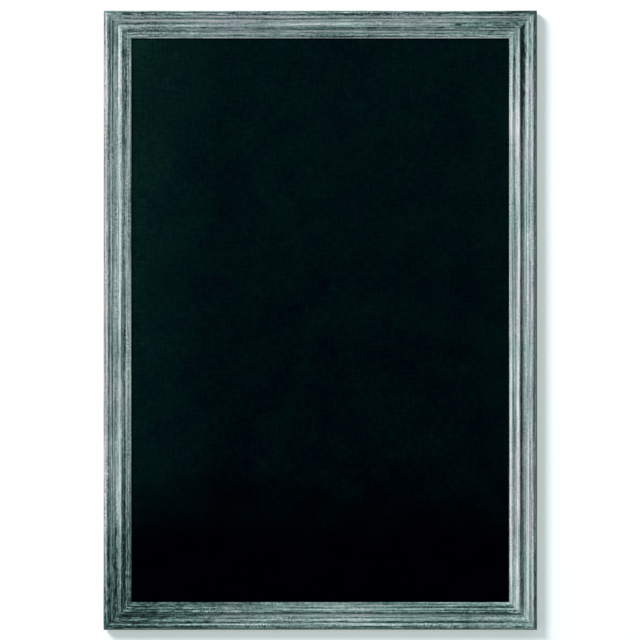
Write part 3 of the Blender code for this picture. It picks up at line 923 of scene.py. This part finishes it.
# %% Screen-backed hardboard
SCREEN = 3 * MM
SCREEN_SHARE = 0.25
SCREEN_RELIEF = 0.25 * MM
FLECK = 8 * MM

# The real screen is about 1.5 mm; it is drawn at 3 mm so that a picture can show it
hardboard, tree, shader = new_finish(
    "screen_backed_hardboard", {"Specular IOR Level": 0.3, "Roughness": 0.8}
)
place = add_node(tree, "TexCoord").outputs["Object"]
weave = 0.0
for direction in ("X", "Z"):
    bars = add_node(
        tree, "TexWave", {"Vector": place, "Scale": ONE_WAVE / SCREEN}, bands_direction=direction
    )
    weave = add_node(tree, "Math", {0: bars.outputs["Fac"], 1: 0.5, 2: weave}, operation="MULTIPLY_ADD")
fleck = add_node(tree, "TexNoise", {"Vector": place, "Scale": 1 / FLECK, "Detail": 5, "Roughness": 0.7})
mixed = add_node(tree, "Math", {0: weave, 1: SCREEN_SHARE, 2: fleck}, operation="MULTIPLY_ADD")
colour = add_node(
    tree, "ValToRGB", {"Fac": mixed},
    stops=((0.35, "#4a3423"), (0.85, "#8a6a48"), (0.6, "#6d5036")),
)
bump = add_node(tree, "Bump", {"Height": weave, "Distance": SCREEN_RELIEF, "Strength": 0.7})
plug(tree, shader, {"Base Color": colour, "Normal": bump})
add_piece("coated_panel", panel_mesh, [coating, hardboard], "board", "writing_surface", "writing_panel")

# %% [markdown]
# ## Steel finishes
# The hardware behind is four kinds of steel: bluish zinc plate on the hangers, brighter plate on the
# screws, dull strip for the V-nails and blued spring steel for the points. They differ in colour and in
# how rough they are, so one function makes them all: a metal whose colour and roughness drift in small
# blotches, with fine rolling lines.

# %% Steel finishes
BLOTCH = 3 * MM
ROLLING_LINE = 0.25 * MM
ROLLING_STRETCH = 0.08
ROLLING_RELIEF = 0.02 * MM


def steel_finish(name, dark, light, smooth, rough):
    """Sheet or wire steel whose plating drifts between two colours and two roughnesses."""
    material, tree, shader = new_finish(name, {"Metallic": 1.0})
    place = add_node(tree, "TexCoord").outputs["Object"]
    blotch = add_node(tree, "TexNoise", {"Vector": place, "Scale": 1 / BLOTCH, "Detail": 4})
    long = add_node(tree, "Mapping", {"Vector": place, "Scale": (1, 1, ROLLING_STRETCH)})
    lines = add_node(tree, "TexNoise", {"Vector": long, "Scale": 1 / ROLLING_LINE, "Detail": 1})
    colour = add_node(tree, "ValToRGB", {"Fac": blotch}, stops=((0.3, dark), (0.7, light)))
    gloss = add_node(tree, "MapRange", {0: blotch, 1: 0.3, 2: 0.7, 3: smooth, 4: rough})
    bump = add_node(tree, "Bump", {"Height": lines, "Distance": ROLLING_RELIEF, "Strength": 0.4})
    plug(tree, shader, {"Base Color": colour, "Roughness": gloss, "Normal": bump})
    return material


zinc_plate = steel_finish("zinc_plated_steel", "#9aa0a2", "#bcc0c0", 0.25, 0.42)
screw_plate = steel_finish("bright_plated_steel", "#b0afa8", "#cfcdc6", 0.2, 0.35)
nail_strip = steel_finish("dull_strip_steel", "#787b79", "#979a98", 0.35, 0.5)
blued_steel = steel_finish("blued_spring_steel", "#43464c", "#62656a", 0.35, 0.5)
print("steels:", zinc_plate.name, screw_plate.name, nail_strip.name, blued_steel.name)

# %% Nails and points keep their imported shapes
for node, packed in frame["nodes"].items():
    if node.endswith("v_nail"):
        packed.material_slots[0].material = nail_strip
    elif "_point_" in node:
        packed.material_slots[0].material = blued_steel
print("strip steel on", sum(n.endswith("v_nail") for n in frame["nodes"]), "V-nails")

# %% [markdown]
# ## Strap hangers
# A strap hanger is a punched steel strip folded round the ring's bar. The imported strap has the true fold
# and holes, so a welded copy only needs what the punch and the plating leave: softly rounded edges, from
# a small bevel.

# %% Straps
PUNCHED_EDGE = 0.12 * MM
FLAT_WITHIN = math.radians(2)
EDGE_OVER = math.radians(50)

for side in ("left", "right"):
    strap = merged_copy(side + "_strap")
    bmesh.ops.dissolve_limit(strap, angle_limit=FLAT_WITHIN, verts=strap.verts, edges=strap.edges)
    edges = [e for e in strap.edges if e.is_manifold and e.calc_face_angle() > EDGE_OVER]
    bmesh.ops.bevel(
        strap, geom=edges, affect="EDGES", offset=PUNCHED_EDGE, segments=2, profile=0.5, material=-1,
        clamp_overlap=True,
    )
    name = side + "_strap_plated"
    add_piece(name, to_mesh(strap, name), [zinc_plate], "board", "hanger_steel", side + "_strap", sharp=40)

# %% [markdown]
# ## D-rings
# Each ring is one piece of wire bent to a D round the strap's eye. Half of it is a circle carried along
# the bar, round the corner, up the side and over the bow, and a mirror makes the other half. It leans
# until its bow touches the frame, which is the rest position of its hinge, and it rides on its own body.

# %% D-rings
WIRE_RADIUS = 1.0 * MM
RING_CORNER = 2.5 * MM
WIRE_SIDES = 20
JOIN = 0.01 * MM


def carry(shape, rim, steps, **move):
    """Extrude a rim along a straight or round a turn, and return the new rim."""
    return bmesh.ops.spin(shape, geom=rim, steps=steps, **move)["geom_last"]


def d_ring(side, hinge):
    """The bent wire at rest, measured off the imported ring."""
    low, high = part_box(side + "_d_ring")
    half = (high.x - low.x) / 2 - WIRE_RADIUS
    rise, lean_in = high.z - WIRE_RADIUS - hinge.z, hinge.y - low.y - WIRE_RADIUS
    bow_centre = math.hypot(rise, lean_in) - half
    straight = half - RING_CORNER
    quarter = {"axis": (0, -1, 0), "angle": math.pi / 2}
    ring = bmesh.new()
    bmesh.ops.create_circle(
        ring, segments=WIRE_SIDES, radius=WIRE_RADIUS, matrix=Matrix.Rotation(math.pi / 2, 4, "Y")
    )
    rim = carry(ring, ring.verts[:] + ring.edges[:], steps=3, dvec=(straight / 3, 0, 0))
    rim = carry(ring, rim, steps=8, cent=(straight, 0, RING_CORNER), **quarter)
    rim = carry(ring, rim, steps=3, dvec=(0, 0, (bow_centre - RING_CORNER) / 3))
    carry(ring, rim, steps=18, cent=(0, 0, bow_centre), **quarter)
    bmesh.ops.mirror(ring, geom=whole(ring), matrix=Matrix(), merge_dist=JOIN, axis="X")
    bmesh.ops.remove_doubles(ring, verts=ring.verts, dist=JOIN)
    lean = Matrix.Translation(hinge) @ Matrix.Rotation(math.atan2(lean_in, rise), 4, "X")
    bmesh.ops.transform(ring, matrix=lean, verts=ring.verts)
    return ring


for joint in frame["joints"]:
    side = joint["child"].split("_")[0]
    mesh = to_mesh(d_ring(side, Vector(joint["pos_m"])), side + "_d_ring_wire")
    add_piece(mesh.name, mesh, [zinc_plate], joint["child"], "hanger_steel", side + "_d_ring")

# %% [markdown]
# ## Screws
# Round-head wood screws hold the straps. A screw is turned, so a profile is spun about its axis: a dome
# from an arc, the flat under the head, the shank and the point. Two crossed wedges cut the driver's
# recess.

# %% Turned forms


def draw_on(shape, vertex, points):
    """Carry a profile on from its last vertex through points of radius and height."""
    for radius, height in points:
        vertex = bmesh.ops.extrude_vert_indiv(shape, verts=[vertex])["verts"][0]
        vertex.co = (radius, 0, height)
    return vertex


def round_on(shape, vertex, radius, height, angle, steps):
    """Carry a profile on round an arc about a centre at this radius and height."""
    arc = bmesh.ops.spin(
        shape, geom=[vertex], cent=(radius, 0, height), axis=(0, 1, 0), angle=angle, steps=steps
    )
    return next(g for g in arc["geom_last"] if isinstance(g, bmesh.types.BMVert))


def turned(shape, placed, steps):
    """Spin a profile about Z into a closed turned solid, and put it in its place."""
    bmesh.ops.spin(
        shape, geom=shape.verts[:] + shape.edges[:], cent=(0, 0, 0), axis=(0, 0, 1), angle=2 * math.pi,
        steps=steps, use_merge=True,
    )
    bmesh.ops.remove_doubles(shape, verts=shape.verts, dist=JOIN)
    bmesh.ops.transform(shape, matrix=placed, verts=shape.verts)
    return shape


def rear_of(node):
    """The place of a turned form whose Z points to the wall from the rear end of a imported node."""
    low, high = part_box(node)
    rear = Matrix.Translation(((low.x + high.x) / 2, high.y, (low.z + high.z) / 2))
    return rear @ Matrix.Rotation(-math.pi / 2, 4, "X")


print("turned forms are welded within", JOIN / MM, "mm")

# %% Driver's recess
RECESS = Vector((3.0, 0.8, 2.2)) * MM
RECESS_TAPER = 0.45


def recess_wedge(turn, placed):
    """One blade of the driver's recess, narrower at its foot."""
    wedge = bmesh.new()
    bmesh.ops.create_cube(wedge, size=1)
    bmesh.ops.scale(wedge, vec=RECESS, verts=wedge.verts)
    foot = [v for v in wedge.verts if v.co.z < 0]
    bmesh.ops.scale(wedge, vec=(RECESS_TAPER, RECESS_TAPER, 1), verts=foot)
    bmesh.ops.transform(wedge, matrix=placed @ Matrix.Rotation(turn, 4, "Z"), verts=wedge.verts)
    return to_mesh(wedge, "recess")


print("recess is", RECESS.x / MM, "mm across")

# %% Screws
HEAD_RADIUS = 3.0 * MM
HEAD_HEIGHT = 1.9 * MM
SHANK_RADIUS = 1.5 * MM
POINT_LENGTH = 3.5 * MM
HEAD_TURN = 0.3


def screw_mesh(node):
    """A round-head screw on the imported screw's axis, head towards the wall."""
    low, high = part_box(node)
    length = high.y - low.y
    dome = (HEAD_RADIUS ** 2 + HEAD_HEIGHT ** 2) / (2 * HEAD_HEIGHT)
    profile = bmesh.new()
    crown = profile.verts.new((0, 0, 0))
    rim = round_on(profile, crown, 0, -dome, angle=math.asin(HEAD_RADIUS / dome), steps=10)
    draw_on(profile, rim, [
        (SHANK_RADIUS, -HEAD_HEIGHT), (SHANK_RADIUS, POINT_LENGTH - length), (0, -length)
    ])
    wedges = [recess_wedge(turn, rear_of(node)) for turn in (HEAD_TURN, HEAD_TURN + math.pi / 2)]
    return carved(to_mesh(turned(profile, rear_of(node), steps=32), node + "_turned"), wedges)


for node in [n for n in frame["nodes"] if n.endswith("_screw")]:
    add_piece(node + "_turned", screw_mesh(node), [screw_plate], "board", "fastener_steel", node)

# %% [markdown]
# ## Bumpers
# Two soft pads keep the foot of the frame off the wall. They are moulded domes with a flat top, so they
# are turned from a profile too, with a rounded shoulder and a thin adhesive disc that meets the wood.

# %% Bumpers
PAD_RADIUS = 4.4 * MM
SHOULDER = 1.0 * MM
GLUE_INSET = 0.3 * MM
GLUE_LIFT = 0.6 * MM
SHOULDER_TURN = math.radians(80)

frame_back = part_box("bottom_rail")[1].y


def bumper_mesh(node):
    """A turned pad from the frame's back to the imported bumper's top."""
    low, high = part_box(node)
    radius = (high.x - low.x) / 2
    depth = high.y - frame_back
    profile = bmesh.new()
    middle = profile.verts.new((0, 0, 0))
    edge = draw_on(profile, middle, [(PAD_RADIUS, 0)])
    rim = round_on(profile, edge, PAD_RADIUS, -SHOULDER, angle=SHOULDER_TURN, steps=6)
    draw_on(profile, rim, [
        (radius, GLUE_LIFT - depth), (radius - GLUE_INSET, GLUE_LIFT / 2 - depth),
        (radius - GLUE_INSET, -depth), (0, -depth),
    ])
    return to_mesh(turned(profile, rear_of(node), steps=40), node + "_moulded")


print("bumper pads are", 2 * PAD_RADIUS / MM, "mm across")

# %% Moulded rubber
TOOTH = 0.5 * MM
TOOTH_RELIEF = 0.05 * MM
DUST = 5 * MM

# Nearly black and dull, with a fine tooth and a little dust
rubber, tree, shader = new_finish("moulded_rubber", {"Specular IOR Level": 0.3})
place = add_node(tree, "TexCoord").outputs["Object"]
tooth = add_node(tree, "TexNoise", {"Vector": place, "Scale": 1 / TOOTH, "Detail": 2})
dust = add_node(tree, "TexNoise", {"Vector": place, "Scale": 1 / DUST, "Detail": 4})
colour = add_node(tree, "ValToRGB", {"Fac": dust}, stops=((0.4, "#232425"), (0.75, "#3d3e3e")))
gloss = add_node(tree, "MapRange", {0: dust, 1: 0.3, 2: 0.7, 3: 0.7, 4: 0.9})
bump = add_node(tree, "Bump", {"Height": tooth, "Distance": TOOTH_RELIEF, "Strength": 0.5})
plug(tree, shader, {"Base Color": colour, "Roughness": gloss, "Normal": bump})
for node in ("left_bumper", "right_bumper"):
    add_piece(node + "_moulded", bumper_mesh(node), [rubber], "board", "bumper_rubber", node)

# %% [markdown]
# ## Wall, floor and light
# The board hangs on a white wall, so the stage is a wall plane just behind it, which takes its shadow,
# and a pale floor far below. Camera rays get part of the wall's white as emission, so the shadow stays
# light. The wall lets the view and the lamps through from behind, so that the back can be looked at and
# is lit as well.

# %% Stage
WALL_Y = 0.5 * MM
FLOOR_Z = -1.3
WALL = (0.95, (0.16, 0.215, 0.215, 1))
FLOOR = (0.30, (0.70, 0.70, 0.70, 1))


def stage_plane(name, matrix, diffuse, own, half_size):
    """A square of stage; its own light and diffuse share reach white, and the former tints shadows."""
    shape = bmesh.new()
    bmesh.ops.create_grid(shape, x_segments=1, y_segments=1, size=half_size, matrix=matrix)
    mesh = bpy.data.meshes.new(name)
    shape.to_mesh(mesh)
    shape.free()
    material = bpy.data.materials.new(name)
    material.use_nodes = True
    tree = material.node_tree
    tree.nodes.clear()
    path = add_node(tree, "LightPath")
    matte = add_node(tree, "BsdfDiffuse", {"Color": (diffuse, diffuse, diffuse, 1)})
    glow = add_node(tree, "Emission", {"Color": own, "Strength": path.outputs["Is Camera Ray"]})
    both = add_node(tree, "AddShader", {0: matte, 1: glow})
    clear = add_node(tree, "BsdfTransparent")
    behind = add_node(tree, "NewGeometry").outputs["Backfacing"]
    shown = add_node(tree, "MixShader", {0: behind, 1: both, 2: clear})
    add_node(tree, "OutputMaterial", {"Surface": shown})
    mesh.materials.append(material)
    plane = bpy.data.objects.new(name, mesh)
    scene.collection.objects.link(plane)
    for ray in ("shadow", "diffuse", "glossy", "transmission"):
        setattr(plane, "visible_" + ray, False)


facing_room = Matrix.Translation((0, WALL_Y, 0)) @ Matrix.Rotation(math.pi / 2, 4, "X")
stage_plane("wall_backdrop", facing_room, *WALL, half_size=4)
stage_plane("pale_floor", Matrix.Translation((0, 0, FLOOR_Z)), *FLOOR, half_size=15)
print("wall and floor give back", WALL[0], "and", FLOOR[0], "of the light")

# %% [markdown]
# ## Lamps
# The light is a large soft source to the left and above, with an even, slightly cool fill from all round.
# Together they give a surface that faces the room a level of about one, so colours render much as written.
# A second soft lamp lights the back. A lamp's power follows from the level wanted: level times pi squared
# times the distance squared, over the cosine of its angle to the surface.

# %% Lamps and fill
KEY_LEVEL = 0.54
KEY_ANGLES = (42, 33)
FILL = (0.435, 0.465, 0.465, 1)
BACK_LEVEL = 0.55


def soft_lamp(name, towards, distance, size, level, faced):
    """A square lamp in this direction that lights a surface with the normal faced to this level."""
    towards = Vector(towards).normalized()
    data = bpy.data.lights.new(name, "AREA")
    data.size = size
    data.energy = level * (math.pi * distance) ** 2 / towards.dot(faced)
    lamp = bpy.data.objects.new(name, data)
    lamp.location = towards * distance
    lamp.rotation_euler = towards.to_track_quat("Z", "Y").to_euler()
    lamp.visible_camera = False
    scene.collection.objects.link(lamp)
    print(name, round(data.energy), "W")


def from_angles(left, up):
    """Direction of a lamp by its angles to the left of the board's normal and above the floor."""
    left, up = math.radians(left), math.radians(up)
    return (-math.sin(left) * math.cos(up), -math.cos(left) * math.cos(up), math.sin(up))


key_way = from_angles(*KEY_ANGLES)
soft_lamp("key_softbox", key_way, distance=10, size=3.4, level=KEY_LEVEL, faced=TO_ROOM)
soft_lamp("back_softbox", (-0.2, 0.95, 0.25), distance=6, size=3, level=BACK_LEVEL, faced=-TO_ROOM)

world = bpy.data.worlds.new("soft_room")
world.use_nodes = True
scene.world = world
tree = world.node_tree
path = add_node(tree, "LightPath")
seen = path.outputs["Is Camera Ray"]
for ray in ("Is Glossy Ray", "Is Transmission Ray"):
    seen = add_node(tree, "Math", {0: seen, 1: path.outputs[ray]}, operation="MAXIMUM")
sky = add_node(tree, "Mix", {0: seen, 6: FILL, 7: (1, 1, 1, 1)}, data_type="RGBA")
plug(tree, tree.nodes["Background"], {"Color": sky.outputs[2]})
print("fill from all round:", FILL[:3])
